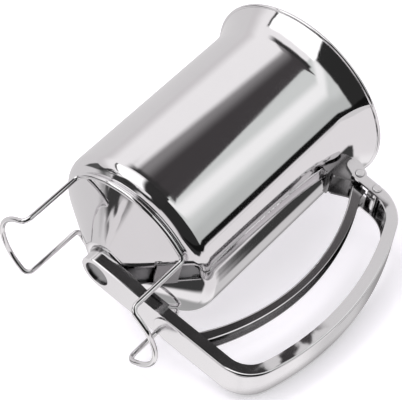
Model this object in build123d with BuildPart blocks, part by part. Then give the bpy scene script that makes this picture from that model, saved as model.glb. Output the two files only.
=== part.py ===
from build123d import *

import os
from math import atan, cos, degrees, hypot, radians, sin, sqrt, tan

# A dispensing pot on a wire stand. A flared cup narrows to a bottom outlet, which a slide in the
# handle's arm closes. Squeezing the lever inside the handle pulls the slide open, and a spring
# shuts it. Millimetres, +Z up, the cup's axis on Z, the handle towards +X, Z = 0 under the feet.

os.makedirs("parts", exist_ok=True)

# ---- driving dimensions ----
ARM_Z = 14.4  # underside of the handle's arm above the table
HANDLE_WIDTH = 20.0
HANDLE_SIDE = 1.3  # sheet of the handle's side faces
HANDLE_WEB = 1.8  # sheet of the handle's outer face
HANDLE_DEPTH = 6.2

CUP_SHEET = 1.0
CUP_RADIUS = 48.0
CUP_FOOT_RADIUS = 14.0  # where the cone meets the cup's flat bottom
CUP_FOOT_Z = ARM_Z + 8.1
CONE_ANGLE = 32.0  # above the horizontal
FOOT_BEND = 3.0
KNUCKLE_BEND = 8.0  # between the cone and the wall
FLARE_Z = ARM_Z + 136.0  # where the wall starts to flare
RIM_RADIUS = 54.0
RIM_Z = ARM_Z + 155.1
RIM_BEAD = 1.1  # radius of the rolled rim

OUTLET_BORE = 7.0
OUTLET_WALL = 1.0
OUTLET_HOLE = 7.16  # hole in the arm under the outlet
SEAL_HEIGHT = 1.0
COLLAR_RADIUS = 11.0

WIRE_RADIUS = 1.4
RING_RADIUS = 42.1  # the stand's ring, at the wire's centre
RING_Z = ARM_Z + 23.65
LEG_ANGLE = 35.63  # of each leg from the X axis, seen from above
RING_BEND = 3.0
FOOT_WIRE_BEND = 4.0
FOOT_REACH = 50.5  # how far the feet bulge out on each side

PIN_RADIUS = 2.0
PIN_HEAD_RADIUS = 2.4
PIN_HEAD_HEIGHT = 0.9
PIN_HEAD_ROUND = 0.8
PIVOT = (59.4, ARM_Z + 129.4)  # the lever's pivot, X and Z
SPRING_PIN = (71.5, ARM_Z + 128.1)

LEVER_WIDTH = 11.5
LEVER_SHEET = 1.2
DRIVE_PIN = (61.2, ARM_Z + 5.4)
DRIVE_PIN_RADIUS = 1.5

SLIDE_Z = ARM_Z + HANDLE_WEB + 0.1
SLIDE_SHEET = 1.8
SLIDE_TOP = SLIDE_Z + SLIDE_SHEET

GUIDE_X = (27.8, 41.0)  # the strap over the arm, along the arm
GUIDE_FOOT_Z = ARM_Z + 1.4
GUIDE_TOP_Z = ARM_Z + 7.5
GUIDE_SHEET = 1.1
GUIDE_WINDOW = 7.6
GUIDE_WINDOW_TOP = 5.6
GUIDE_RIVET = (29.4, ARM_Z + 4.0)
RIVET_RADIUS = 0.9
RIVET_HEAD_RADIUS = 1.5
RIVET_HEAD_HEIGHT = 0.8

half_width = HANDLE_WIDTH / 2
inner_half_width = half_width - HANDLE_SIDE


# ---- stand: one closed loop of wire ----
# The ring is open where it meets the X axis. At each of its four ends the wire bends down into a
# leg, and the legs of each side are joined by a foot that bulges outwards.
leg_radius = hypot(RING_RADIUS, RING_BEND)
leg_x = leg_radius * cos(radians(LEG_ANGLE))
leg_y = leg_radius * sin(radians(LEG_ANGLE))
ring_end_angle = -LEG_ANGLE - degrees(atan(RING_BEND / RING_RADIUS))
foot_half_angle = 2 * atan((FOOT_REACH - leg_x) / (leg_y + FOOT_WIRE_BEND))
foot_radius = (leg_y - FOOT_WIRE_BEND * cos(foot_half_angle)) / sin(foot_half_angle)

with BuildPart() as stand_wire:
    with BuildLine() as wire_path:
        ring = CenterArc((0, 0, RING_Z), RING_RADIUS, -90, ring_end_angle + 90)
        leg_top = Vector(leg_x, -leg_y, RING_Z - RING_BEND)
        leg_foot = Vector(leg_x, -leg_y, WIRE_RADIUS + FOOT_WIRE_BEND)
        TangentArc(ring @ 1, leg_top, tangent=ring % 1)
        leg = Line(leg_top, leg_foot)
        foot = CenterArc(
            (FOOT_REACH - foot_radius, 0, WIRE_RADIUS),
            foot_radius,
            -degrees(foot_half_angle),
            degrees(foot_half_angle),
        )
        TangentArc(leg_foot, foot @ 0, tangent=leg % 1)
    with BuildSketch(Plane(origin=ring @ 0, z_dir=ring % 0)):
        Circle(WIRE_RADIUS)
    sweep(path=wire_path.wires()[0])
    mirror(about=Plane.XZ)
    mirror(about=Plane.YZ)
stand_wire.part.label = "stand_wire"
export_step(stand_wire.part, "parts/stand_wire.step")


# ---- cup: sheet metal of revolution ----
cone_slope = tan(radians(CONE_ANGLE))
cone_sin = sin(radians(CONE_ANGLE))
cone_cos = cos(radians(CONE_ANGLE))
bead_centre = (RIM_RADIUS - RIM_BEAD, RIM_Z - RIM_BEAD)
flare_out = bead_centre[0] - (CUP_RADIUS - CUP_SHEET / 2)
flare_angle = 2 * degrees(atan(flare_out / (bead_centre[1] - FLARE_Z)))
flare_radius = (bead_centre[1] - FLARE_Z) / sin(radians(flare_angle))


def cup_line(inset):
    """The cup's profile, from the outlet up to the rim, moved inwards by inset."""
    foot_z = CUP_FOOT_Z + inset
    foot_r = CUP_FOOT_RADIUS - inset * cone_sin + inset * (1 - cone_cos) / cone_slope
    wall_r = CUP_RADIUS - inset
    knuckle_z = foot_z + (wall_r - foot_r) * cone_slope
    below = FilletPolyline(
        (OUTLET_BORE + OUTLET_WALL, foot_z),
        (foot_r, foot_z),
        (wall_r, knuckle_z),
        (wall_r, FLARE_Z),
        radius=(FOOT_BEND - inset, KNUCKLE_BEND - inset),
    )
    flare = JernArc(below @ 1, (0, 1), flare_radius - CUP_SHEET / 2 + inset, -flare_angle)
    return below, flare


with BuildPart() as cup_body:
    with BuildSketch(Plane.XZ):
        with BuildLine():
            outside = cup_line(0)
            inside = cup_line(CUP_SHEET)
            Line(outside[0] @ 0, inside[0] @ 0)
            Line(outside[1] @ 1, inside[1] @ 1)
        make_face()
        with Locations(bead_centre):
            Circle(RIM_BEAD)
    revolve(axis=Axis.Z)
cup_body.part.label = "cup_body"
export_step(cup_body.part, "parts/cup_body.step")


# ---- outlet: tube through the cup's bottom, a collar on the arm, a seal over the slide ----
seal_z = SLIDE_TOP + 0.1
tube_z = seal_z + SEAL_HEIGHT
collar_z = ARM_Z + 7.6

with BuildPart() as outlet_tube:
    with BuildSketch(Plane.XY.offset(tube_z)):
        Circle(OUTLET_BORE + OUTLET_WALL)
        Circle(OUTLET_BORE, mode=Mode.SUBTRACT)
    extrude(amount=CUP_FOOT_Z + CUP_SHEET - tube_z)
outlet_tube.part.label = "outlet_tube"
export_step(outlet_tube.part, "parts/outlet_tube.step")

with BuildPart() as outlet_collar:
    with BuildSketch(Plane.XY.offset(collar_z)):
        Circle(COLLAR_RADIUS)
        Circle(OUTLET_BORE + OUTLET_WALL, mode=Mode.SUBTRACT)
    extrude(amount=CUP_FOOT_Z - collar_z)
outlet_collar.part.label = "outlet_collar"
export_step(outlet_collar.part, "parts/outlet_collar.step")

with BuildPart() as outlet_seal:
    with BuildSketch(Plane.XY.offset(seal_z)):
        Circle(OUTLET_BORE + 1.6)
        Circle(OUTLET_BORE - 0.1, mode=Mode.SUBTRACT)
    extrude(amount=SEAL_HEIGHT)
    fillet(outlet_seal.edges().group_by(Axis.Z)[0].sort_by(SortBy.RADIUS)[-1], 0.3)
outlet_seal.part.label = "outlet_seal"
export_step(outlet_seal.part, "parts/outlet_seal.step")


# ---- handle frame: a folded channel, open towards the cup ----
CORNER_X = 79.8  # where the arm starts to bend up into the grip
CORNER_BEND = (19.75, 71.55)  # radius and turn
GRIP_BEND = (140.6, 43.7)
SHOULDER_BEND = (22.8, 61.3)
TOP_END_X = 57.0  # end of the top stretch, beyond which only the cheeks' bosses go on
FORK_X = 66.0  # the outer face is cut away between the cheeks up to here
BOSS = (54.2, ARM_Z + 131.6)
BOSS_RADIUS = 3.6
NOSE_SIDE_DEPTH = 7.6  # the side faces are deeper under the outlet
STEP_HEIGHT = 0.6  # the arm's underside steps down behind the outlet
STEP_X = 48.0
EDGE_ROUND = 1.3
top_slope = tan(radians(180 - CORNER_BEND[1] - GRIP_BEND[1] - SHOULDER_BEND[1]))


def handle_line(start_x, inset):
    """The handle's outline in side view, from the arm round to the top, moved inwards by inset."""
    arm = Line((start_x, ARM_Z + inset), (CORNER_X, ARM_Z + inset))
    corner = JernArc(arm @ 1, arm % 1, CORNER_BEND[0] - inset, CORNER_BEND[1])
    grip = JernArc(corner @ 1, corner % 1, GRIP_BEND[0] - inset, GRIP_BEND[1])
    shoulder = JernArc(grip @ 1, grip % 1, SHOULDER_BEND[0] - inset, SHOULDER_BEND[1])
    turned = shoulder @ 1
    top = Line(turned, (TOP_END_X, turned.Y + (turned.X - TOP_END_X) * top_slope))
    return arm, top


def handle_strip(start_x, inset, depth):
    """The closed line round a strip of the handle, from inset to depth inside its outline."""
    outer = handle_line(start_x, inset)
    inner = handle_line(start_x, depth)
    Line(outer[0] @ 0, inner[0] @ 0)
    Line(outer[1] @ 1, inner[1] @ 1)


with BuildLine(Plane.XZ, mode=Mode.PRIVATE) as handle_outside:
    handle_line(-half_width, 0)
outline = handle_outside.wires()[0]

with BuildPart() as handle_frame:
    with BuildSketch(Plane.XZ):
        with BuildLine():
            handle_strip(-half_width, 0, HANDLE_DEPTH)
        make_face()
        with BuildLine():
            Polyline(
                (-half_width, ARM_Z + HANDLE_DEPTH),
                (28, ARM_Z + HANDLE_DEPTH),
                (16, ARM_Z + NOSE_SIDE_DEPTH),
                (-half_width, ARM_Z + NOSE_SIDE_DEPTH),
                close=True,
            )
        make_face()
    extrude(amount=half_width, both=True)
    with BuildSketch(Plane.XY.offset(ARM_Z)):
        Circle(half_width)
        with Locations((60, 0)):
            Rectangle(120, HANDLE_WIDTH)
    extrude(amount=150, mode=Mode.INTERSECT)
    outer_edges = [
        edge
        for edge in handle_frame.edges().filter_by(Axis.Y, reverse=True)
        if outline.distance_to(Vertex((edge @ 0.5).X, 0, (edge @ 0.5).Z)) < 0.01
    ]
    fillet(outer_edges, EDGE_ROUND)
    # boss at the end of each cheek, round the pivot
    with BuildSketch(Plane.XZ):
        SlotCenterPoint(
            center=((PIVOT[0] + BOSS[0]) / 2, (PIVOT[1] + BOSS[1]) / 2),
            point=BOSS,
            height=2 * BOSS_RADIUS,
        )
    extrude(amount=half_width, both=True)
    # the channel's inside
    with BuildSketch(Plane.XZ):
        with BuildLine():
            handle_strip(0, HANDLE_WEB, 1.5 * HANDLE_DEPTH)
        make_face()
        with Locations((FORK_X - 10, ARM_Z + 130)):
            Rectangle(20, 20)
    extrude(amount=inner_half_width, both=True, mode=Mode.SUBTRACT)
    with BuildSketch(Plane.XY.offset(ARM_Z + HANDLE_WEB)):
        Circle(inner_half_width)
    extrude(amount=NOSE_SIDE_DEPTH, mode=Mode.SUBTRACT)
    # round-nosed step in the underside, and the hole under the outlet
    with BuildSketch(Plane.XY.offset(ARM_Z)):
        with Locations(((STEP_X - half_width) / 2, 0)):
            Rectangle(STEP_X + half_width, HANDLE_WIDTH + 2)
        with Locations((STEP_X, 0)):
            Circle(half_width, mode=Mode.SUBTRACT)
    extrude(amount=STEP_HEIGHT, mode=Mode.SUBTRACT)
    with BuildSketch(Plane.XY.offset(ARM_Z)):
        Circle(OUTLET_HOLE)
    extrude(amount=HANDLE_WEB, mode=Mode.SUBTRACT)
    # holes for the two pins and the guide's rivets
    with BuildSketch(Plane.XZ):
        with Locations(PIVOT, SPRING_PIN):
            Circle(PIN_RADIUS)
        with Locations(GUIDE_RIVET):
            Circle(RIVET_RADIUS)
    extrude(amount=half_width, both=True, mode=Mode.SUBTRACT)
handle_frame.part.label = "handle_frame"
export_step(handle_frame.part, "parts/handle_frame.step")


# ---- bracket on the cup's wall, with two ears for the pivot ----
BRACKET_SHEET = 1.35
BRACKET_HALF_WIDTH = 8.4
BRACKET_Z = (ARM_Z + 119.0, ARM_Z + 134.8)
EAR_SHEET = 1.4
EAR_RADIUS = 3.6
bracket_r = CUP_RADIUS + 0.05

with BuildPart() as cup_bracket:
    with BuildSketch(Plane.XY.offset(BRACKET_Z[0])):
        Circle(bracket_r + BRACKET_SHEET)
        Circle(bracket_r, mode=Mode.SUBTRACT)
        with Locations((CUP_RADIUS, 0)):
            Rectangle(10, 2 * BRACKET_HALF_WIDTH, mode=Mode.INTERSECT)
    extrude(amount=BRACKET_Z[1] - BRACKET_Z[0])
    with BuildSketch(Plane.XZ):
        with Locations(PIVOT):
            Circle(EAR_RADIUS)
        with Locations((49.9, BRACKET_Z[0] + 3), (49.9, BRACKET_Z[1] - 1.5)):
            Circle(1.5)
        make_hull()
        with Locations(PIVOT):
            Circle(PIN_RADIUS, mode=Mode.SUBTRACT)
    extrude(amount=BRACKET_HALF_WIDTH, both=True)
    with BuildSketch(Plane.XZ):
        with Locations((bracket_r + BRACKET_SHEET, PIVOT[1])):
            Rectangle(30, 40, align=(Align.MIN, Align.CENTER))
    extrude(amount=BRACKET_HALF_WIDTH - EAR_SHEET, both=True, mode=Mode.SUBTRACT)
cup_bracket.part.label = "cup_bracket"
export_step(cup_bracket.part, "parts/cup_bracket.step")


# ---- the two cross pins of the handle's top, each with a domed head at both ends ----
with BuildPart() as pivot_pin:
    with BuildSketch(Plane.XZ):
        with Locations(PIVOT):
            Circle(PIN_RADIUS)
    extrude(amount=half_width, both=True)
    with BuildSketch(Plane.XZ.offset(half_width)):
        with Locations(PIVOT):
            Circle(PIN_HEAD_RADIUS)
    extrude(amount=PIN_HEAD_HEIGHT)
    fillet(pivot_pin.edges().group_by(Axis.Y)[0], PIN_HEAD_ROUND)
    mirror(about=Plane.XZ)
pivot_pin.part.label = "pivot_pin"
export_step(pivot_pin.part, "parts/pivot_pin.step")

with BuildPart() as spring_pin:
    with BuildSketch(Plane.XZ):
        with Locations(SPRING_PIN):
            Circle(PIN_RADIUS)
    extrude(amount=half_width, both=True)
    with BuildSketch(Plane.XZ.offset(half_width)):
        with Locations(SPRING_PIN):
            Circle(PIN_HEAD_RADIUS)
    extrude(amount=PIN_HEAD_HEIGHT)
    fillet(spring_pin.edges().group_by(Axis.Y)[0], PIN_HEAD_ROUND)
    mirror(about=Plane.XZ)
spring_pin.part.label = "spring_pin"
export_step(spring_pin.part, "parts/spring_pin.step")


# ---- lever: a curved channel with its web on the cup's side ----
LEVER_ARC_CENTRE = (-33.6, ARM_Z + 66.7)
LEVER_ARC = 109.2  # radius of the web's outer face
LEVER_FOOT_Z = ARM_Z + 8.0  # lower end of the web
LEVER_WEB_TOP = ARM_Z + 123.0
LEVER_FOOT_RADIUS = 2.8
LEVER_HEAD_RADIUS = 3.5
PIVOT_FIT = 0.05  # clearance of the lever's holes on the pivot pin
lever_half_width = LEVER_WIDTH / 2


def lever_web_x(z, inside=0.0):
    """X of the web's outer face at height z, or of a face that far inside the channel."""
    rise = z - LEVER_ARC_CENTRE[1]
    return LEVER_ARC_CENTRE[0] + sqrt((LEVER_ARC + inside) ** 2 - rise**2)


lever_foot = (lever_web_x(LEVER_FOOT_Z), LEVER_FOOT_Z)
lever_middle = (lever_web_x(ARM_Z + 66.7), ARM_Z + 66.7)
lever_neck = (lever_web_x(LEVER_WEB_TOP), LEVER_WEB_TOP)
free_edge = [(64.4, ARM_Z + 8.0), (79.6, ARM_Z + 70.0), (67.2, ARM_Z + 121.0)]

with BuildPart() as trigger_lever:
    with BuildSketch(Plane.XZ):
        with BuildLine():
            web_side = ThreePointArc(lever_foot, lever_middle, lever_neck)
            open_side = ThreePointArc(*free_edge)
            Polyline(
                web_side @ 1,
                (PIVOT[0] - LEVER_HEAD_RADIUS, PIVOT[1]),
                (PIVOT[0] + LEVER_HEAD_RADIUS, PIVOT[1]),
                (63.2, ARM_Z + 126.0),
                (66.9, ARM_Z + 125.9),
                open_side @ 1,
            )
            Polyline(
                web_side @ 0,
                (DRIVE_PIN[0] - LEVER_FOOT_RADIUS, DRIVE_PIN[1]),
                (DRIVE_PIN[0] + LEVER_FOOT_RADIUS, DRIVE_PIN[1]),
                open_side @ 0,
            )
        make_face()
        with Locations(PIVOT):
            Circle(LEVER_HEAD_RADIUS)
        with Locations(DRIVE_PIN):
            Circle(LEVER_FOOT_RADIUS)
    extrude(amount=lever_half_width, both=True)
    web_edges = [
        edge
        for edge in trigger_lever.edges().filter_by(GeomType.CIRCLE)
        if abs(edge.radius - LEVER_ARC) < 0.01
    ]
    fillet(web_edges, 1.0)
    # the channel's inside: all but the web between the two flanges
    with BuildSketch(Plane.XZ):
        with Locations((70, ARM_Z + 66)):
            Rectangle(60, 150)
        with Locations(LEVER_ARC_CENTRE):
            Circle(LEVER_ARC + LEVER_SHEET, mode=Mode.SUBTRACT)
        with Locations((70, LEVER_FOOT_Z)):
            Rectangle(60, 20, align=(Align.CENTER, Align.MAX))
        with Locations((70, LEVER_WEB_TOP)):
            Rectangle(60, 20, align=(Align.CENTER, Align.MIN))
    extrude(amount=lever_half_width - LEVER_SHEET, both=True, mode=Mode.SUBTRACT)
    with BuildSketch(Plane.XZ):
        with Locations(PIVOT):
            Circle(PIN_RADIUS + PIVOT_FIT)
        with Locations(DRIVE_PIN):
            Circle(DRIVE_PIN_RADIUS)
    extrude(amount=lever_half_width, both=True, mode=Mode.SUBTRACT)
trigger_lever.part.label = "trigger_lever"
export_step(trigger_lever.part, "parts/trigger_lever.step")

with BuildPart() as drive_pin:
    with BuildSketch(Plane.XZ):
        with Locations(DRIVE_PIN):
            Circle(DRIVE_PIN_RADIUS)
    extrude(amount=lever_half_width + 0.4, both=True)
    fillet(drive_pin.edges(), 0.3)
drive_pin.part.label = "drive_pin"
export_step(drive_pin.part, "parts/drive_pin.step")


# ---- round the pivot pin: bush, washers and return spring ----
BUSH_RADIUS = 2.5
WASHER_RADIUS = 3.4
COIL_RADII = (2.55, 3.35)
COIL_HALF_LENGTH = 3.2
SPRING_WIRE = 0.4  # radius
flange_gap = 0.1
ear_inside = BRACKET_HALF_WIDTH - EAR_SHEET
lever_inside = lever_half_width - LEVER_SHEET

with BuildPart() as spring_bush:
    with BuildSketch(Plane.XZ):
        with Locations(PIVOT):
            Circle(BUSH_RADIUS)
            Circle(PIN_RADIUS, mode=Mode.SUBTRACT)
    extrude(amount=lever_inside - flange_gap, both=True)
spring_bush.part.label = "spring_bush"
export_step(spring_bush.part, "parts/spring_bush.step")

with BuildPart() as pivot_washers:
    with BuildSketch(Plane.XZ.offset(lever_half_width + flange_gap)):
        with Locations(PIVOT):
            Circle(WASHER_RADIUS)
            Circle(PIN_RADIUS, mode=Mode.SUBTRACT)
    extrude(amount=ear_inside - lever_half_width - flange_gap)
    mirror(about=Plane.XZ)
pivot_washers.part.label = "pivot_washers"
export_step(pivot_washers.part, "parts/pivot_washers.step")

# The coil is a plain sleeve. One end of the wire lies under the spring pin and the other lies in
# the lever's channel, with room for the web to come to it as the lever is squeezed.
coil_middle = (COIL_RADII[0] + COIL_RADII[1]) / 2
pin_leg_y = COIL_HALF_LENGTH - SPRING_WIRE
pin_leg_end = Vector(SPRING_PIN[0] + 1.5, -pin_leg_y, SPRING_PIN[1] - PIN_RADIUS - SPRING_WIRE - 0.05)
pin_leg_start = Vector(PIVOT[0], -pin_leg_y, PIVOT[1] - coil_middle)
web_leg_start = Vector(PIVOT[0] + coil_middle, pin_leg_y, PIVOT[1])
web_leg_end = Vector(lever_web_x(ARM_Z + 121.5, LEVER_SHEET) + 1.6, pin_leg_y, ARM_Z + 121.5)

with BuildPart() as return_spring:
    with BuildSketch(Plane.XZ):
        with Locations(PIVOT):
            Circle(COIL_RADII[1])
            Circle(COIL_RADII[0], mode=Mode.SUBTRACT)
    extrude(amount=COIL_HALF_LENGTH, both=True)
    with BuildSketch(Plane(origin=pin_leg_start, z_dir=pin_leg_end - pin_leg_start)):
        Circle(SPRING_WIRE)
    extrude(amount=(pin_leg_end - pin_leg_start).length)
    with BuildSketch(Plane(origin=web_leg_start, z_dir=web_leg_end - web_leg_start)):
        Circle(SPRING_WIRE)
    extrude(amount=(web_leg_end - web_leg_start).length)
return_spring.part.label = "return_spring"
export_step(return_spring.part, "parts/return_spring.step")


# ---- slide: a plate over the outlet, with a slotted block that the drive pin pulls ----
SLIDE_NOSE = 8.5
SLIDE_HALF_WIDTH = 8.3
SLIDE_BODY_X = 50.0
SLIDE_END_X = 64.6
TONGUE_HALF_WIDTH = 4.2  # the tongue runs between the lever's flanges
YOKE_START_X = 57.6
YOKE_HALF_WIDTH = 3.0
YOKE_TOP = ARM_Z + 7.0
SLOT_FIT = 0.15

with BuildPart() as valve_slide:
    with BuildSketch(Plane.XY.offset(SLIDE_Z)):
        Circle(SLIDE_NOSE)
        Rectangle(SLIDE_BODY_X, 2 * SLIDE_HALF_WIDTH, align=(Align.MIN, Align.CENTER))
        Rectangle(SLIDE_END_X, 2 * TONGUE_HALF_WIDTH, align=(Align.MIN, Align.CENTER))
    extrude(amount=SLIDE_SHEET)
    corners = valve_slide.edges().filter_by(Axis.Z)
    fillet(corners.filter_by_position(Axis.X, SLIDE_BODY_X - 1, SLIDE_END_X + 1), 1.5)
valve_slide.part.label = "valve_slide"
export_step(valve_slide.part, "parts/valve_slide.step")

with BuildPart() as slide_yoke:
    with BuildSketch(Plane.XZ):
        with BuildLine():
            Polyline(
                (YOKE_START_X, SLIDE_TOP),
                (YOKE_START_X, YOKE_TOP),
                (SLIDE_END_X, YOKE_TOP),
                (SLIDE_END_X, SLIDE_TOP),
                close=True,
            )
        make_face()
        with Locations((DRIVE_PIN[0], DRIVE_PIN[1])):
            Circle(DRIVE_PIN_RADIUS + SLOT_FIT, mode=Mode.SUBTRACT)
            Rectangle(
                2 * (DRIVE_PIN_RADIUS + SLOT_FIT),
                10,
                align=(Align.CENTER, Align.MIN),
                mode=Mode.SUBTRACT,
            )
    extrude(amount=YOKE_HALF_WIDTH, both=True)
slide_yoke.part.label = "slide_yoke"
export_step(slide_yoke.part, "parts/slide_yoke.step")


# ---- guide: a strap over the arm, riveted to its sides ----
with BuildPart() as slide_guide:
    with BuildSketch(Plane.XZ):
        with BuildLine():
            Polyline(
                (GUIDE_X[0], GUIDE_FOOT_Z),
                (GUIDE_X[0], GUIDE_TOP_Z),
                (GUIDE_X[1], GUIDE_TOP_Z),
                (GUIDE_X[1], GUIDE_FOOT_Z),
                close=True,
            )
        make_face()
        with Locations(((GUIDE_X[0] + GUIDE_X[1] + 0.4) / 2, ARM_Z + GUIDE_WINDOW_TOP)):
            Rectangle(GUIDE_WINDOW, 10, align=(Align.CENTER, Align.MAX), mode=Mode.SUBTRACT)
        with Locations(GUIDE_RIVET):
            Circle(RIVET_RADIUS, mode=Mode.SUBTRACT)
    extrude(amount=half_width + GUIDE_SHEET, both=True)
    fillet(slide_guide.edges().filter_by(Axis.X).group_by(Axis.Z)[-1], 0.9)
    with BuildSketch(Plane.XZ):
        with Locations((GUIDE_X[0], ARM_Z + HANDLE_DEPTH)):
            Rectangle(40, 20, align=(Align.CENTER, Align.MAX))
    extrude(amount=half_width, both=True, mode=Mode.SUBTRACT)
slide_guide.part.label = "slide_guide"
export_step(slide_guide.part, "parts/slide_guide.step")

with BuildPart() as guide_rivets:
    with BuildSketch(Plane.XZ.offset(inner_half_width)):
        with Locations(GUIDE_RIVET):
            Circle(RIVET_RADIUS)
    extrude(amount=HANDLE_SIDE + GUIDE_SHEET)
    with BuildSketch(Plane.XZ.offset(half_width + GUIDE_SHEET)):
        with Locations(GUIDE_RIVET):
            Circle(RIVET_HEAD_RADIUS)
    extrude(amount=RIVET_HEAD_HEIGHT)
    fillet(guide_rivets.edges().group_by(Axis.Y)[0], 0.6)
    mirror(about=Plane.XZ)
guide_rivets.part.label = "guide_rivets"
export_step(guide_rivets.part, "parts/guide_rivets.step")
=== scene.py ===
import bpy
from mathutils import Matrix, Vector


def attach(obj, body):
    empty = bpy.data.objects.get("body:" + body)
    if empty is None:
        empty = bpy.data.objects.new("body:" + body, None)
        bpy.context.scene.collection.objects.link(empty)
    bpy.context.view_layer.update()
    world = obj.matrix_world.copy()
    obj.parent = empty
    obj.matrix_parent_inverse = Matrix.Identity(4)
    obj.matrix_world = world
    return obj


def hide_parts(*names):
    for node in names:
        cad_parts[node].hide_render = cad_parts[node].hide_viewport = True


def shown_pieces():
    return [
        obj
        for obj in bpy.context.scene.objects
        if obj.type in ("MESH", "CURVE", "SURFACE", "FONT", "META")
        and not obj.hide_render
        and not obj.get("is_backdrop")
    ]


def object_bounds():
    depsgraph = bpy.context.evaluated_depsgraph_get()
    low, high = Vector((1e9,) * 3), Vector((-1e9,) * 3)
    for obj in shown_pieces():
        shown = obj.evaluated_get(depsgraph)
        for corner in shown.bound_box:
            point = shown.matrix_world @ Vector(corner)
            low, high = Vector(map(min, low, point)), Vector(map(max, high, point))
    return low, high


bl_info = {
    "name": "Dispensing pot",
    "version": (1, 0, 0),
    "blender": (4, 5, 0),
    "location": "3D View > Sidebar > Dispensing pot",
    "description": "Makes a polished steel dispensing pot with a squeeze lever and a wire stand",
    "category": "Add Mesh",
}

from math import asin, atan, cos, hypot, pi, radians, sin, tan

import bpy
from bpy.props import FloatProperty, FloatVectorProperty, IntProperty, PointerProperty
from mathutils import Matrix, Vector

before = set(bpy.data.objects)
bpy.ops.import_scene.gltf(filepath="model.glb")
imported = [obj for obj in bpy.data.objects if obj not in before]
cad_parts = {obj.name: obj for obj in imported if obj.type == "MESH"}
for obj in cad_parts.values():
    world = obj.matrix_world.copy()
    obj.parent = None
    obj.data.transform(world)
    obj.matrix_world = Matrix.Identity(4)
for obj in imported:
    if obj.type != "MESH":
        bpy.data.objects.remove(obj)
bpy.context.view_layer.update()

MM = 0.001
ARM_Z = 14.4 * MM  # underside of the handle's arm above the table
PIVOT = Vector((59.4, 0.0, ARM_Z / MM + 129.4)) * MM  # middle of the lever's pivot
SPRING_PIN = Vector((71.5, 0.0, ARM_Z / MM + 128.1)) * MM  # middle of the spring's pin


# ---- sizes and colours ----
class CupSizes(bpy.types.PropertyGroup):
    sheet: FloatProperty(
        name="Sheet", description="Thickness of the cup's metal", default=1.0 * MM, unit="LENGTH"
    )
    radius: FloatProperty(
        name="Wall radius", description="Outer radius of the straight wall", default=48.0 * MM,
        unit="LENGTH",
    )
    foot_radius: FloatProperty(
        name="Foot radius", description="Where the cone meets the flat bottom",
        default=14.0 * MM, unit="LENGTH",
    )
    foot_rise: FloatProperty(
        name="Foot rise", description="The flat bottom above the arm's underside",
        default=8.1 * MM, unit="LENGTH",
    )
    tube_radius: FloatProperty(
        name="Outlet radius", description="Outer radius of the outlet tube",
        default=8.0 * MM, unit="LENGTH",
    )
    cone_angle: FloatProperty(
        name="Cone angle", description="Slope of the cone above the horizontal",
        default=radians(32.0), subtype="ANGLE",
    )
    foot_bend: FloatProperty(
        name="Foot bend", description="Outer bend between the flat bottom and the cone",
        default=3.0 * MM, unit="LENGTH",
    )
    knuckle: FloatProperty(
        name="Knuckle", description="Outer bend between the cone and the wall",
        default=8.0 * MM, unit="LENGTH",
    )
    flare_rise: FloatProperty(
        name="Flare start", description="Where the wall starts to flare, above the arm",
        default=136.0 * MM, unit="LENGTH",
    )
    rim_radius: FloatProperty(
        name="Rim radius", description="Outer radius of the rolled rim", default=54.0 * MM,
        unit="LENGTH",
    )
    rim_rise: FloatProperty(
        name="Rim rise", description="Top of the rim above the arm", default=155.1 * MM,
        unit="LENGTH",
    )
    rim_bead: FloatProperty(
        name="Rim bead", description="Radius of the roll along the rim", default=1.1 * MM,
        unit="LENGTH",
    )
    facets: IntProperty(name="Facets", description="Facets round the cup", default=256, min=32)


class StandSizes(bpy.types.PropertyGroup):
    wire: FloatProperty(
        name="Wire radius", description="Radius of the stand's wire", default=1.4 * MM,
        unit="LENGTH",
    )
    ring_radius: FloatProperty(
        name="Ring radius", description="Ring under the cone, at the wire's centre",
        default=42.1 * MM, unit="LENGTH",
    )
    ring_rise: FloatProperty(
        name="Ring rise", description="The ring's wire above the arm's underside",
        default=23.65 * MM, unit="LENGTH",
    )
    leg_angle: FloatProperty(
        name="Leg angle", description="Each leg from the handle's plane, seen from above",
        default=radians(35.63), subtype="ANGLE",
    )
    ring_bend: FloatProperty(
        name="Ring bend", description="Bend between the ring and a leg", default=3.0 * MM,
        unit="LENGTH",
    )
    foot_bend: FloatProperty(
        name="Foot bend", description="Bend between a leg and a foot", default=4.0 * MM,
        unit="LENGTH",
    )
    foot_reach: FloatProperty(
        name="Foot reach", description="How far the feet bulge out on each side",
        default=50.5 * MM, unit="LENGTH",
    )


class SpringSizes(bpy.types.PropertyGroup):
    wire: FloatProperty(
        name="Wire radius", description="Radius of the spring's wire", default=0.4 * MM,
        unit="LENGTH",
    )
    coil: FloatProperty(
        name="Coil radius", description="Coil radius at the wire's centre",
        default=2.95 * MM, unit="LENGTH",
    )
    half_length: FloatProperty(
        name="Half length", description="Half of the coil's length", default=2.8 * MM,
        unit="LENGTH",
    )
    turns: FloatProperty(name="Turns", description="Turns of the coil", default=6.25)


class FinishColours(bpy.types.PropertyGroup):
    steel: FloatVectorProperty(
        name="Steel", description="Colour of the polished steel", default=(0.80, 0.79, 0.80),
        subtype="COLOR", min=0, max=1,
    )
    # painted shade: a darkened copy of the steel's colour, for the bracket, washers and slide
    # guide, standing in for the shade they sit in
    dull: FloatVectorProperty(
        name="Bracket", description="Colour of the bracket's darker steel",
        default=(0.38, 0.375, 0.38), subtype="COLOR", min=0, max=1,
    )
    satin: FloatVectorProperty(
        name="Slide", description="Colour of the slide's duller steel",
        default=(0.33, 0.33, 0.335), subtype="COLOR", min=0, max=1,
    )
    seal: FloatVectorProperty(
        name="Seal", description="Colour of the outlet's silicone seal",
        default=(0.62, 0.60, 0.57), subtype="COLOR", min=0, max=1,
    )
    floor: FloatVectorProperty(
        name="Floor", description="Colour of the floor", default=(0.88, 0.84, 0.92),
        subtype="COLOR", min=0, max=1,
    )


GROUPS = {
    "pot_cup": CupSizes,
    "pot_stand": StandSizes,
    "pot_spring": SpringSizes,
    "pot_colours": FinishColours,
}


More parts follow.
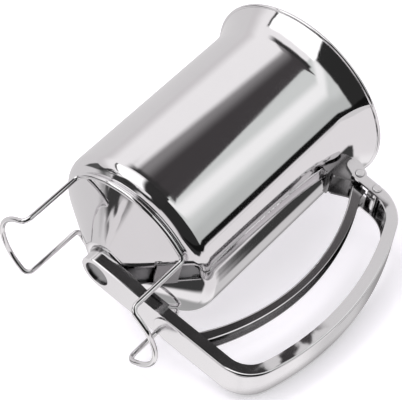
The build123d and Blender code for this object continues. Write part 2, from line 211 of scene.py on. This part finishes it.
# ---- node helpers ----
class Tree:
    """Adds nodes to a node tree, with links and values given by input name or number."""

    def __init__(self, tree):
        self.tree = tree

    def add(self, kind, inputs=None, **settings):
        node = self.tree.nodes.new(kind)
        for name, value in settings.items():
            setattr(node, name, value)
        for name, value in (inputs or {}).items():
            self.set(node.inputs[name], value)
        return node

    def set(self, socket, value):
        if isinstance(value, bpy.types.Node):
            value = value.outputs[0]
        if isinstance(value, bpy.types.NodeSocket):
            self.tree.links.new(value, socket)
        else:
            socket.default_value = value

    def math(self, operation, *values):
        node = self.add("ShaderNodeMath", operation=operation)
        for socket, value in zip(node.inputs, values):
            self.set(socket, value)
        return node.outputs[0]

    def mix(self, share, first, second):
        """A colour between two others, each given as a colour or a socket."""
        node = self.add("ShaderNodeMix", {"Factor": share}, data_type="RGBA")
        self.set(node.inputs[6], first)
        self.set(node.inputs[7], second)
        return node.outputs[2]

    def noise(self, place, scale, detail=2.0, roughness=0.5):
        """A cloudy pattern from 0 to 1, with its scale in patches per unit."""
        inputs = {"Vector": place, "Scale": scale, "Detail": detail, "Roughness": roughness}
        return self.add("ShaderNodeTexNoise", inputs).outputs["Fac"]

    def ramp(self, value, low, high, start=0.0, end=1.0, kind="SMOOTHSTEP"):
        """Goes from start to end while the value goes from low to high."""
        limits = {"From Min": low, "From Max": high, "To Min": start, "To Max": end}
        limits["Value"] = value
        return self.add("ShaderNodeMapRange", limits, interpolation_type=kind).outputs["Result"]


def geometry_tree(name, inputs):
    """A geometry node group with a geometry input and output and the named inputs."""
    tree = bpy.data.node_groups.new(name, "GeometryNodeTree")
    tree.interface.new_socket("Geometry", in_out="INPUT", socket_type="NodeSocketGeometry")
    for label, kind in inputs:
        tree.interface.new_socket(label, in_out="INPUT", socket_type=kind)
    tree.interface.new_socket("Geometry", in_out="OUTPUT", socket_type="NodeSocketGeometry")
    return tree, Tree(tree)


def placed(name, data):
    """A new object in the scene."""
    thing = bpy.data.objects.new(name, data)
    bpy.context.scene.collection.objects.link(thing)
    return thing


def grown(source, tree, values, name):
    """The plain mesh object that a geometry node tree makes from a source object."""
    modifier = source.modifiers.new("Grow", "NODES")
    modifier.node_group = tree
    for item in tree.interface.items_tree:
        if item.in_out == "INPUT" and item.name in values:
            modifier[item.identifier] = values[item.name]
    bpy.context.view_layer.update()
    evaluated = source.evaluated_get(bpy.context.evaluated_depsgraph_get())
    mesh = bpy.data.meshes.new_from_object(evaluated)
    bpy.data.objects.remove(source)
    if not mesh.polygons:
        raise RuntimeError(f"{name} came out empty")
    mesh.name = name
    return placed(name, mesh)


def new_material(name, blank=False):
    """A material and the helper for its nodes, with no nodes yet when it is to be blank."""
    material = bpy.data.materials.new(name)
    material.use_nodes = True
    if blank:
        material.node_tree.nodes.clear()
    return material, Tree(material.node_tree)


# ---- outlines ----
BEND_STEPS = 8  # steps round the cup's foot bend, twice as many round the knuckle
CONE_STEPS = 12
WALL_STEPS = 40
FLARE_STEPS = 32
ROLL_STEPS = 36


def bend(corner, before, after, radius, steps):
    """Points of the arc that rounds a corner between the points before and after it."""
    back = (before - corner).normalized()
    ahead = (after - corner).normalized()
    half = back.angle(ahead) / 2
    centre = corner + (back + ahead).normalized() * radius / sin(half)
    start = (corner + back * radius / tan(half) - centre).normalized()
    end = (corner + ahead * radius / tan(half) - centre).normalized()
    return [centre + start.slerp(end, i / steps) * radius for i in range(steps + 1)]


def between(start, end, steps):
    """Points that divide a straight run into steps, without its ends."""
    return [start.lerp(end, i / steps) for i in range(1, steps)]


def cup_outline(sizes, inset):
    """One face of the cup's sheet, from the outlet up to the rim, moved inwards by inset.

    Also gives the angle through which the flare turns out."""
    slope = tan(sizes.cone_angle)
    foot_z = ARM_Z + sizes.foot_rise + inset
    foot_r = sizes.foot_radius - inset * sin(sizes.cone_angle)
    foot_r += inset * (1 - cos(sizes.cone_angle)) / slope
    wall_r = sizes.radius - inset
    outlet = Vector((sizes.tube_radius, 0, foot_z))
    foot = Vector((foot_r, 0, foot_z))
    knuckle = Vector((wall_r, 0, foot_z + (wall_r - foot_r) * slope))
    flare_start = Vector((wall_r, 0, ARM_Z + sizes.flare_rise))
    points = [outlet]
    points += bend(foot, outlet, knuckle, sizes.foot_bend - inset, BEND_STEPS)
    round_knuckle = bend(knuckle, foot, flare_start, sizes.knuckle - inset, 2 * BEND_STEPS)
    points += between(points[-1], round_knuckle[0], CONE_STEPS)
    points += round_knuckle
    points += between(round_knuckle[-1], flare_start, WALL_STEPS)
    rim_r = sizes.rim_radius - sizes.rim_bead - (sizes.radius - sizes.sheet / 2)
    rise = sizes.rim_rise - sizes.rim_bead - sizes.flare_rise
    turn = 2 * atan(rim_r / rise)
    radius = rise / sin(turn) - sizes.sheet / 2 + inset
    for i in range(FLARE_STEPS + 1):
        angle = turn * i / FLARE_STEPS
        points.append(flare_start + Vector((radius * (1 - cos(angle)), 0, radius * sin(angle))))
    return points, turn


def arc_points(centre, axis_a, axis_b, radius, start, end, steps):
    """Points of an arc in the plane of two axes."""
    angles = [start + (end - start) * i / steps for i in range(steps + 1)]
    return [centre + (axis_a * cos(a) + axis_b * sin(a)) * radius for a in angles]


# ---- finishes ----
# patches or lines per metre
SMEARS = 38.0
RIPPLES = 22.0
LAPPING = (40.0, 40.0, 2600.0)
MOTTLE = 900.0

# each steel's colour, roughness, depth of ripple and of lapping lines, and width of the hollows
# that get painted shade
STEELS = {
    "Mirror steel": ("steel", 0.055, 0.05, 0.012, 0.0),
    "Pressed steel": ("steel", 0.09, 0.10, 0.02, 12 * MM),
    "Drawn wire": ("steel", 0.05, 0.04, 0.02, 0.0),
    # painted shade: this steel's dark colour stands in for shade, while its higher roughness is
    # real
    "Dull steel": ("dull", 0.16, 0.08, 0.03, 8 * MM),
    "Satin steel": ("satin", 0.35, 0.03, 0.10, 8 * MM),
}
FINISHES = {}  # the materials made so far


def toned(colour, share):
    """A colour made darker or lighter."""
    return (*[min(1, c * share) for c in colour], 1)


def steel_finish(name, colour, roughness, ripple, lines, shaded_hollow):
    """Polished steel: smears of roughness, faint hand-polish ripples and fine lapping lines.

    Hollows narrower than the given width get painted shade: ambient occlusion darkens the base
    colour there, standing in for the dim reflections they only catch of each other."""
    material, nodes = new_material(name)
    shader = material.node_tree.nodes["Principled BSDF"]
    shader.inputs["Metallic"].default_value = 1.0
    place = nodes.add("ShaderNodeTexCoord").outputs["Object"]
    smears = nodes.noise(place, SMEARS, 5.0, 0.6)
    dullness = nodes.ramp(smears, 0.3, 0.75, roughness * 0.7, roughness * 1.5, "LINEAR")
    nodes.set(shader.inputs["Roughness"], dullness)
    tint = nodes.mix(smears, toned(colour, 0.97), toned(colour, 1.03))
    # painted shade: in narrow hollows ambient occlusion darkens the base colour towards near
    # black
    if shaded_hollow:
        around = nodes.add("ShaderNodeAmbientOcclusion", {"Distance": shaded_hollow}, samples=6)
        unshaded_share = nodes.ramp(around.outputs["AO"], 0.25, 0.85, start=0.06, kind="LINEAR")
        tint = nodes.mix(unshaded_share, toned(colour, 0.05), tint)
    nodes.set(shader.inputs["Base Color"], tint)
    waves = nodes.noise(place, RIPPLES, 2.0, 0.4)
    stretch = nodes.add("ShaderNodeMapping", {"Vector": place, "Scale": LAPPING})
    lapping = nodes.noise(stretch, 1.0, 3.0, 0.7)
    soft = nodes.add("ShaderNodeBump", {"Height": waves, "Strength": ripple, "Distance": 1 * MM})
    fine = nodes.add(
        "ShaderNodeBump",
        {"Height": lapping, "Strength": lines, "Distance": 0.2 * MM, "Normal": soft},
    )
    nodes.set(shader.inputs["Normal"], fine)
    return material


def seal_finish(name, colour):
    """Matt silicone with a faint mottle."""
    material, nodes = new_material(name)
    shader = material.node_tree.nodes["Principled BSDF"]
    place = nodes.add("ShaderNodeTexCoord").outputs["Object"]
    mottle = nodes.noise(place, MOTTLE, 3.0)
    tint = nodes.mix(mottle, toned(colour, 0.85), toned(colour, 1.0))
    nodes.set(shader.inputs["Base Color"], tint)
    shader.inputs["Roughness"].default_value = 0.55
    bump = nodes.add("ShaderNodeBump", {"Height": mottle, "Strength": 0.2, "Distance": 0.1 * MM})
    nodes.set(shader.inputs["Normal"], bump)
    return material


def finish(name):
    """The named finish, made the first time it is asked for."""
    if name not in FINISHES:
        colours = bpy.context.scene.pot_colours
        if name == "Silicone":
            FINISHES[name] = seal_finish(name, colours.seal)
        else:
            colour, *settings = STEELS[name]
            FINISHES[name] = steel_finish(name, getattr(colours, colour), *settings)
    return FINISHES[name]


def dress(piece, name):
    """Gives every face of a piece one finish."""
    piece.data.materials.clear()
    piece.data.materials.append(finish(name))


# ---- the cup ----
class POT_OT_cup(bpy.types.Operator):
    """Turns the cup's outline round its axis: outlet, cone, wall, flare and rolled rim"""

    bl_idname = "pot.cup"
    bl_label = "Cup"

    def execute(self, context):
        sizes = context.scene.pot_cup
        outside, turn = cup_outline(sizes, 0.0)
        inside, turn = cup_outline(sizes, sizes.sheet)
        bead_z = ARM_Z + sizes.rim_rise - sizes.rim_bead
        bead = Vector((sizes.rim_radius - sizes.rim_bead, 0, bead_z))
        half_neck = asin(sizes.sheet / 2 / sizes.rim_bead)
        down = -pi / 2 - turn
        roll = arc_points(
            bead, Vector((1, 0, 0)), Vector((0, 0, 1)), sizes.rim_bead,
            down + half_neck, down + 2 * pi - half_neck, ROLL_STEPS,
        )
        line = outside[:-1] + roll + inside[-2::-1]
        mesh = bpy.data.meshes.new("cup_outline")
        count = len(line)
        mesh.from_pydata(line, [(i, (i + 1) % count) for i in range(count)], [])
        tree = self.turned_tree()
        values = {"Facets": sizes.facets, "Material": finish("Mirror steel")}
        cup = grown(placed("cup_outline", mesh), tree, values, "cup")
        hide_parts("cup_body")
        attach(cup, "pot")
        return {"FINISHED"}

    def turned_tree(self):
        """Lays the outline's points along one side of a grid and wraps the grid round Z."""
        tree, nodes = geometry_tree(
            "Turned sheet", [("Facets", "NodeSocketInt"), ("Material", "NodeSocketMaterial")]
        )
        start = nodes.add("NodeGroupInput")
        points = nodes.add(
            "GeometryNodeAttributeDomainSize", {"Geometry": start.outputs["Geometry"]}
        ).outputs["Point Count"]
        rows = nodes.math("ADD", points, 1)
        columns = nodes.math("ADD", start.outputs["Facets"], 1)
        grid = nodes.add("GeometryNodeMeshGrid", {"Vertices X": rows, "Vertices Y": columns})
        # half a step on keeps each division clear of a whole number
        index = nodes.add("GeometryNodeInputIndex")
        row = nodes.math("FLOOR", nodes.math("DIVIDE", nodes.math("ADD", index, 0.5), columns))
        column = nodes.math("SUBTRACT", index, nodes.math("MULTIPLY", row, columns))
        outline_point = nodes.math("FLOORED_MODULO", row, points)
        place = nodes.add("GeometryNodeInputPosition")
        sample = nodes.add(
            "GeometryNodeSampleIndex",
            {"Geometry": start.outputs["Geometry"], "Index": outline_point},
            data_type="FLOAT_VECTOR",
        )
        nodes.set(sample.inputs["Value"], place)
        parts = nodes.add("ShaderNodeSeparateXYZ", {"Vector": sample.outputs["Value"]})
        share = nodes.math("DIVIDE", column, start.outputs["Facets"])
        angle = nodes.math("MULTIPLY", share, 2 * pi)
        x = nodes.math("MULTIPLY", parts.outputs["X"], nodes.math("COSINE", angle))
        y = nodes.math("MULTIPLY", parts.outputs["X"], nodes.math("SINE", angle))
        turned = nodes.add("ShaderNodeCombineXYZ", {"X": x, "Y": y, "Z": parts.outputs["Z"]})
        moved = nodes.add(
            "GeometryNodeSetPosition", {"Geometry": grid.outputs["Mesh"], "Position": turned}
        )
        closed = nodes.add("GeometryNodeMergeByDistance", {"Geometry": moved, "Distance": 1e-6})
        outward = nodes.add("GeometryNodeFlipFaces", {"Mesh": closed})
        smooth = nodes.add("GeometryNodeSetShadeSmooth", {"Geometry": outward})
        solid = nodes.add("GeometryNodeRealizeInstances", {"Geometry": smooth})
        painted = nodes.add(
            "GeometryNodeSetMaterial",
            {"Geometry": solid, "Material": start.outputs["Material"]},
        )
        nodes.add("NodeGroupOutput", {"Geometry": painted})
        return tree


# ---- the stand ----
RING_STEPS = 40
WIRE_BEND_STEPS = 10
FOOT_STEPS = 30


def wire_tree():
    """Gives a curve the round section of a wire."""
    tree, nodes = geometry_tree(
        "Round wire",
        [
            ("Radius", "NodeSocketFloat"),
            ("Sides", "NodeSocketInt"),
            ("Material", "NodeSocketMaterial"),
        ],
    )
    start = nodes.add("NodeGroupInput")
    section = nodes.add(
        "GeometryNodeCurvePrimitiveCircle",
        {"Resolution": start.outputs["Sides"], "Radius": start.outputs["Radius"]},
    )
    wire = nodes.add(
        "GeometryNodeCurveToMesh",
        {
            "Curve": start.outputs["Geometry"],
            "Profile Curve": section.outputs["Curve"],
            "Fill Caps": True,
        },
    )
    smooth = nodes.add("GeometryNodeSetShadeSmooth", {"Geometry": wire})
    solid = nodes.add("GeometryNodeRealizeInstances", {"Geometry": smooth})
    painted = nodes.add(
        "GeometryNodeSetMaterial", {"Geometry": solid, "Material": start.outputs["Material"]}
    )
    nodes.add("NodeGroupOutput", {"Geometry": painted})
    return tree


def wire_curve(name, lines, closed):
    """A curve object with one straight-run spline for each list of points."""
    curve = bpy.data.curves.new(name, "CURVE")
    curve.dimensions = "3D"
    for points in lines:
        spline = curve.splines.new("POLY")
        spline.points.add(len(points) - 1)
        for target, point in zip(spline.points, points):
            target.co = (*point, 1.0)
        spline.use_cyclic_u = closed
    return placed(name, curve)


class POT_OT_stand(bpy.types.Operator):
    """Bends one loop of wire into the stand: two ring arcs, four legs and two bulging feet"""

    bl_idname = "pot.stand"
    bl_label = "Wire stand"

    def execute(self, context):
        sizes = context.scene.pot_stand
        quarter = self.quarter_line(sizes)
        mirrored = [Vector((p.x, -p.y, p.z)) for p in reversed(quarter[:-1])]
        half = quarter + mirrored
        other = [Vector((-p.x, p.y, p.z)) for p in reversed(half[1:-1])]
        values = {"Radius": sizes.wire, "Sides": 24, "Material": finish("Drawn wire")}
        source = wire_curve("stand_line", [half + other], True)
        stand = grown(source, wire_tree(), values, "wire_stand")
        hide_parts("stand_wire")
        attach(stand, "stand")
        return {"FINISHED"}

    def quarter_line(self, sizes):
        """The wire's centre line from the front of the ring to the outer end of a foot."""
        ring_z = ARM_Z + sizes.ring_rise
        leg_radius = hypot(sizes.ring_radius, sizes.ring_bend)
        leg = Vector((cos(sizes.leg_angle), -sin(sizes.leg_angle), 0)) * leg_radius
        ring_end = -sizes.leg_angle - atan(sizes.ring_bend / sizes.ring_radius)
        x_axis, y_axis, z_axis = Matrix.Identity(3)
        points = arc_points(
            Vector((0, 0, ring_z)), x_axis, y_axis, sizes.ring_radius,
            -pi / 2, ring_end, RING_STEPS,
        )
        ahead = Vector((-sin(ring_end), cos(ring_end), 0))
        points += arc_points(
            points[-1] - z_axis * sizes.ring_bend, ahead, z_axis, sizes.ring_bend,
            pi / 2, 0, WIRE_BEND_STEPS,
        )[1:]
        half_angle = 2 * atan((sizes.foot_reach - leg.x) / (-leg.y + sizes.foot_bend))
        radius = (-leg.y - sizes.foot_bend * cos(half_angle)) / sin(half_angle)
        ahead = Vector((sin(half_angle), cos(half_angle), 0))
        points += arc_points(
            Vector((leg.x, leg.y, sizes.wire + sizes.foot_bend)) + ahead * sizes.foot_bend,
            -ahead, -z_axis, sizes.foot_bend, 0, pi / 2, WIRE_BEND_STEPS,
        )
        points += arc_points(
            Vector((sizes.foot_reach - radius, 0, sizes.wire)), x_axis, y_axis, radius,
            -half_angle, 0, FOOT_STEPS,
        )[1:]
        return points


# ---- the return spring ----
COIL_STEPS = 24  # steps in each turn
PIN_LEG = Vector((1.5, -2.8, -2.45)) * MM  # from the spring's pin to the leg's end under it
WEB_LEG = Vector((1.49, 0, -7.9)) * MM  # from the coil's end down into the lever's channel


class POT_OT_spring(bpy.types.Operator):
    """Winds the return spring round the pivot, with a leg under its pin and one in the lever"""

    bl_idname = "pot.spring"
    bl_label = "Return spring"

    def execute(self, context):
        sizes = context.scene.pot_spring
        steps = int(sizes.turns * COIL_STEPS)
        coil = []
        for i in range(steps + 1):
            angle = -pi / 2 + 2 * pi * sizes.turns * i / steps
            y = sizes.half_length * (2 * i / steps - 1)
            coil.append(PIVOT + Vector((sizes.coil * cos(angle), y, sizes.coil * sin(angle))))
        pin_end = SPRING_PIN + PIN_LEG
        web_end = coil[-1] + WEB_LEG
        line = [pin_end, pin_end.lerp(coil[0], 0.5)] + coil
        line += [coil[-1].lerp(web_end, 0.5), web_end]
        values = {"Radius": sizes.wire, "Sides": 10, "Material": finish("Drawn wire")}
        source = wire_curve("spring_line", [line], False)
        spring = grown(source, wire_tree(), values, "torsion_spring")
        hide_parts("return_spring")
        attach(spring, "pot")
        return {"FINISHED"}


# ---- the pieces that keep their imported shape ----
PLAIN_PIECES = {
    "outlet_tube": "Mirror steel",
    "outlet_collar": "Pressed steel",
    "outlet_seal": "Silicone",
    "handle_frame": "Pressed steel",
    # painted shade: the bracket, washers and slide guide take the darkened copy of the steel's
    # colour
    "cup_bracket": "Dull steel",
    "pivot_pin": "Pressed steel",
    "spring_pin": "Pressed steel",
    "spring_bush": "Drawn wire",
    "pivot_washers": "Dull steel",
    "slide_guide": "Dull steel",
    "guide_rivets": "Pressed steel",
    "trigger_lever": "Pressed steel",
    "drive_pin": "Drawn wire",
    "valve_slide": "Satin steel",
    "slide_yoke": "Drawn wire",
}


class POT_OT_finishes(bpy.types.Operator):
    """Gives the handle, lever, slide, pins and outlet their finishes"""

    bl_idname = "pot.finishes"
    bl_label = "Handle, lever and slide finishes"

    def execute(self, context):
        for node, name in PLAIN_PIECES.items():
            dress(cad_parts[node], name)
        return {"FINISHED"}


# ---- the stage ----
FLOOR_UP = Vector((-0.37, -0.925, 0.085)).normalized()  # sideways, as the pot is laid down
FLOOR_GAP = 0.5 * MM
FLOOR_HALF = 1.6
FLOOR_GLOW = 0.46
SOFTBOX_OFFSET = Vector((-0.66, -0.24, -0.03))  # how the lamp leans away from FLOOR_UP
SOFTBOX_DISTANCE = 0.9
SWAY_SCALE = 5.0
SWAY = 0.06  # how far the boards' edges waver, in radians


class Room:
    """Directions round the pot as an azimuth and an elevation, and boards hung in them."""

    def __init__(self, nodes):
        self.nodes = nodes
        toward = nodes.add("ShaderNodeTexCoord").outputs["Generated"]
        parts = nodes.add("ShaderNodeSeparateXYZ", {"Vector": toward})
        waves = nodes.noise(toward, SWAY_SCALE, 3.0)
        sway = nodes.math("MULTIPLY", nodes.math("SUBTRACT", waves, 0.5), SWAY)
        around = nodes.math("ARCTAN2", parts.outputs["Y"], parts.outputs["X"])
        self.around = nodes.math("ADD", around, sway)
        self.up = nodes.math("ADD", nodes.math("ARCSINE", parts.outputs["Z"]), sway)

    def step(self, value, edge, soft):
        """Rises from 0 to 1 across an edge, with the edge and its softness in degrees."""
        return self.nodes.ramp(value, radians(edge - soft), radians(edge + soft))

    def side(self, edge, level):
        """Past one side of a board: (azimuth, softness) or (azimuth, softness, lean)."""
        azimuth, soft, lean = (*edge, 0.0)[:3]
        height = self.nodes.math("SUBTRACT", self.up, radians(level))
        leaned = self.nodes.math("MULTIPLY", height, lean)
        return self.step(self.nodes.math("SUBTRACT", self.around, leaned), azimuth, soft)

    def board(self, behind, colour, left, right, low, high, level=0.0):
        """Hangs a board of one colour in front of what is behind it.

        Left and right are azimuths and low and high elevations, each with its softness. A side
        that leans passes through its azimuth at the level."""
        nodes = self.nodes
        past = nodes.math("SUBTRACT", 1.0, self.side(right, level))
        over = nodes.math("SUBTRACT", 1.0, self.step(self.up, *high))
        across = nodes.math("MULTIPLY", self.side(left, level), past)
        upward = nodes.math("MULTIPLY", self.step(self.up, *low), over)
        return nodes.mix(nodes.math("MULTIPLY", across, upward), behind, (*colour, 1))


def grey(level, warm=0.0):
    """A grey, a little pink where warm is above nought and a little green where it is below."""
    return (level * (1 + warm), level, level * (1 + warm / 2))


def surroundings():
    """A white studio with dark cloths and pale boards, laid out round the pot's axis."""
    world = bpy.data.worlds.new("Studio")
    world.use_nodes = True
    bpy.context.scene.world = world
    world.node_tree.nodes.clear()
    nodes = Tree(world.node_tree)
    hung = Room(nodes)
    # past these limits a board has no edge
    back, bottom, top = (200, 1), (-95, 1), (95, 1)
    far_back = (-200, 1)
    room = (*grey(0.98, 0.02), 1)
    # pale walls, and a pale ground below
    room = hung.board(room, grey(0.70, 0.03), far_back, (-166, 9), bottom, top)
    room = hung.board(room, grey(0.72, 0.02), (112, 10), back, bottom, top)
    room = hung.board(room, grey(0.86, 0.03), (-6, 2), (60, 9), bottom, top)
    room = hung.board(room, grey(0.80, 0.03), far_back, back, bottom, (-58, 12))
    # grey screen and a dark board behind the handle
    room = hung.board(room, grey(0.66, 0.02), (60, 5), (92, 8), (20, 4), (50, 12))
    room = hung.board(room, grey(0.34, 0.02), (86, 6), (114, 10), (20, 4), (50, 12))
    room = hung.board(room, grey(0.05), (38, 2), (61, 3), (25, 1.5), (40, 8))
    # pale panel, its lamp and its shaded edge
    room = hung.board(room, grey(0.74, -0.03), (-86, 2), (-13, 2), (2, 3), (60, 12))
    room = hung.board(room, grey(1.05), (-60, 6, 1), (-40, 7, 1), (4, 6), (60, 12), 31)
    room = hung.board(room, grey(0.58, -0.03), (-32, 8), (-12, 2), (4, 3), (60, 12))
    # dark cloth beside the panel: grey along its far edge, darkest near the panel and at its hem
    cloth = (-76, 1.2, -2.5)
    room = hung.board(room, grey(0.26, 0.04), (-125, 5, 2), cloth, (24.4, 0.4), (80, 12), 28)
    room = hung.board(room, grey(0.055, 0.1), (-111, 9, 1), cloth, (24.4, 0.4), (80, 12), 28)
    room = hung.board(room, grey(0.035, 0.04), (-138, 8), (-78, 2), (18.5, 1.5), (25, 0.5))
    # bright lamp below the cloth, with a thin dark frame at its far side
    room = hung.board(room, grey(1.4), (-150, 1.5), (-81, 2), (-45, 4), (8, 2))
    room = hung.board(room, grey(0.04), (-152, 0.8), (-149, 0.8), (-30, 3), (8, 3))
    # dark table edge below, and the black stand beside the panel
    room = hung.board(room, grey(0.028), (-81, 1.5, 0.35), (-8, 1.5, -0.4), (-72, 5), (4, 2))
    room = hung.board(room, grey(0.008), (-13.5, 1), (-4.5, 1.2), (-60, 5), (75, 8))
    # dark and grey things low down
    room = hung.board(room, grey(0.10), (151, 3, -0.25), back, (-46, 5), (-18, 2))
    room = hung.board(room, grey(0.03), far_back, (-138, 4, -0.3), (-70, 3), (-48, 2), -60)
    room = hung.board(room, grey(0.03), (-150, 4), (-80, 3), (-77, 3), (-62, 2))
    room = hung.board(room, grey(0.05), (47, 4), (76, 3), (-50, 4), (-27, 3))
    room = hung.board(room, grey(0.40), (78, 4), (112, 5), (-15, 3), (18, 4))
    seen = nodes.add("ShaderNodeLightPath").outputs["Is Camera Ray"]
    shown = nodes.mix(seen, room, (1, 1, 1, 1))
    light = nodes.add("ShaderNodeBackground", {"Color": shown, "Strength": 1.0})
    nodes.add("ShaderNodeOutputWorld", {"Surface": light})


def card(name, points, columns, level, fades, blotched=0.0, patch_scale=110.0):
    """A card seen only in the steel: a strip of faces between pairs of points.

    Each fade is an axis with the two places along it where the card is clear and whole.
    Below the blotched height it is clear in patches."""
    faces = [(2 * i, 2 * i + 2, 2 * i + 3, 2 * i + 1) for i in range(columns)]
    mesh = bpy.data.meshes.new(name)
    mesh.from_pydata(points, [], faces)
    material, nodes = new_material(name, blank=True)
    place = nodes.add("ShaderNodeTexCoord").outputs["Object"]
    parts = nodes.add("ShaderNodeSeparateXYZ", {"Vector": place})
    cover = 1.0
    for axis, clear, whole in fades:
        cover = nodes.math("MULTIPLY", cover, nodes.ramp(parts.outputs[axis], clear, whole))
    if blotched:
        patch = nodes.ramp(nodes.noise(place, patch_scale), 0.44, 0.54)
        above = nodes.ramp(parts.outputs["Z"], blotched - 5 * MM, blotched + 5 * MM)
        cover = nodes.math("MULTIPLY", cover, nodes.math("MAXIMUM", patch, above))
    glow = nodes.add("ShaderNodeEmission", {"Color": (*grey(level, 0.02), 1), "Strength": 1.0})
    clear = nodes.add("ShaderNodeBsdfTransparent")
    both = nodes.add("ShaderNodeMixShader", {0: cover, 1: clear, 2: glow})
    nodes.add("ShaderNodeOutputMaterial", {"Surface": both})
    mesh.materials.append(material)
    hung = placed(name, mesh)
    hung.visible_camera = False
    hung.visible_diffuse = False
    hung.visible_shadow = False
    hung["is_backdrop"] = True


def upright(left, right, low, high):
    """Corners of a flat card beside the grip."""
    return [(x * MM, -30 * MM, z * MM) for x in (left, right) for z in (low, high)]


def cards():
    """Dark cards for the cup's lower bend and its cone, and pale ones for the grip's side."""
    reach, columns = 179 * MM, 8
    curved = []
    for i in range(columns + 1):
        angle = radians(-108 + 34 * i / columns)
        for height in (-115 * MM, 94 * MM):
            curved.append((reach * cos(angle), reach * sin(angle), height))
    card("dark_card", curved, columns, 0.03, [("X", -55 * MM, -32 * MM)])
    low = [(x * MM, y * MM, -40 * MM) for y in (-90, -6) for x in (-150, -20)]
    low_fades = [("X", -20 * MM, -38 * MM), ("Y", -6 * MM, -18 * MM)]
    card("low_card", low, 1, 0.05, low_fades, blotched=200 * MM, patch_scale=40.0)
    grip = upright(76, 114, 30, 190)
    card("grip_card", grip, 1, 0.72, [("Z", 30 * MM, 40 * MM)], blotched=72 * MM)
    card("fork_card", upright(44, 76, 151, 190), 1, 0.72, [("Z", 150 * MM, 153 * MM)])


def floor_finish(colour):
    """A white sweep, seen only from its upper side."""
    material, nodes = new_material("White sweep", blank=True)
    paint = nodes.add("ShaderNodeBsdfDiffuse", {"Color": (*colour, 1)})
    glow = nodes.add("ShaderNodeEmission", {"Color": (1, 1, 1, 1), "Strength": FLOOR_GLOW})
    lit = nodes.add("ShaderNodeAddShader", {0: paint, 1: glow})
    clear = nodes.add("ShaderNodeBsdfTransparent")
    back = nodes.add("ShaderNodeNewGeometry").outputs["Backfacing"]
    both = nodes.add("ShaderNodeMixShader", {0: back, 1: lit, 2: clear})
    nodes.add("ShaderNodeOutputMaterial", {"Surface": both})
    return material


class POT_OT_stage(bpy.types.Operator):
    """Sets the studio: white sweep, soft light, surroundings and camera"""

    bl_idname = "pot.stage"
    bl_label = "Stage"

    def execute(self, context):
        scene = context.scene
        scene.view_settings.view_transform = "Standard"
        surroundings()
        cards()
        low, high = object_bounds()
        middle = (low + high) / 2
        middle += FLOOR_UP * (self.lowest(FLOOR_UP) - FLOOR_GAP - middle.dot(FLOOR_UP))
        self.floor(scene, middle)
        self.soft_light(middle)
        self.camera(scene)
        return {"FINISHED"}

    def floor(self, scene, middle):
        """A square under the pot, which the steel doesn't mirror."""
        across = FLOOR_UP.to_track_quat("Z", "Y").to_matrix()
        corners = [
            middle + across @ Vector((x, y, 0)) * FLOOR_HALF
            for x, y in ((-1, -1), (1, -1), (1, 1), (-1, 1))
        ]
        mesh = bpy.data.meshes.new("floor")
        mesh.from_pydata(corners, [], [(0, 1, 2, 3)])
        mesh.materials.append(floor_finish(scene.pot_colours.floor))
        floor = placed("floor", mesh)
        floor.visible_glossy = False
        floor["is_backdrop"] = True

    def lowest(self, up):
        """How far the object reaches against a direction, as a distance along it."""
        reach = [
            (piece.matrix_world @ vertex.co).dot(up)
            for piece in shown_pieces()
            for vertex in piece.data.vertices
        ]
        return min(reach)

    def soft_light(self, middle):
        """A large lamp over the floor, which the steel doesn't mirror."""
        light = bpy.data.lights.new("softbox", "AREA")
        light.shape = "RECTANGLE"
        light.size = 0.7
        light.size_y = 0.5
        light.energy = 3.0
        softbox = placed("softbox", light)
        away = (FLOOR_UP + SOFTBOX_OFFSET).normalized()
        softbox.location = middle + away * SOFTBOX_DISTANCE
        softbox.rotation_euler = away.to_track_quat("Z", "Y").to_euler()
        softbox.visible_glossy = False

    def camera(self, scene):
        """The camera, from the directions of its right, down and ahead and from its place."""
        lens = bpy.data.cameras.new("camera")
        lens.lens = 150.06
        lens.sensor_width = 36.0
        lens.clip_start = 0.05
        camera = placed("camera", lens)
        right = Vector((0.74849, -0.06156, 0.66028))
        down = Vector((0.58025, 0.54282, -0.60716))
        ahead = Vector((-0.32104, 0.83759, 0.44202))
        place = Vector((0.27728, -0.70157, -0.28826))
        turn = Matrix((right, -down, -ahead)).transposed().to_4x4()
        camera.matrix_world = Matrix.Translation(place) @ turn
        scene.camera = camera


class POT_PT_panel(bpy.types.Panel):
    """Lists the pot's pieces and its stage"""

    bl_label = "Dispensing pot"
    bl_idname = "POT_PT_panel"
    bl_space_type = "VIEW_3D"
    bl_region_type = "UI"
    bl_category = "Dispensing pot"

    def draw(self, context):
        for step in STEPS:
            self.layout.operator(step.bl_idname)
        for group in GROUPS:
            box = self.layout.box()
            settings = getattr(context.scene, group)
            for name in settings.__annotations__:
                box.prop(settings, name)


STEPS = (POT_OT_cup, POT_OT_stand, POT_OT_spring, POT_OT_finishes, POT_OT_stage)
CLASSES = (*GROUPS.values(), *STEPS, POT_PT_panel)


def register():
    for item in CLASSES:
        bpy.utils.register_class(item)
    for name, group in GROUPS.items():
        setattr(bpy.types.Scene, name, PointerProperty(type=group))


def unregister():
    for name in GROUPS:
        delattr(bpy.types.Scene, name)
    for item in reversed(CLASSES):
        bpy.utils.unregister_class(item)


def main():
    register()
    bpy.ops.pot.cup()
    bpy.ops.pot.stand()
    bpy.ops.pot.spring()
    bpy.ops.pot.finishes()
    bpy.ops.pot.stage()


if __name__ == "__main__":
    main()
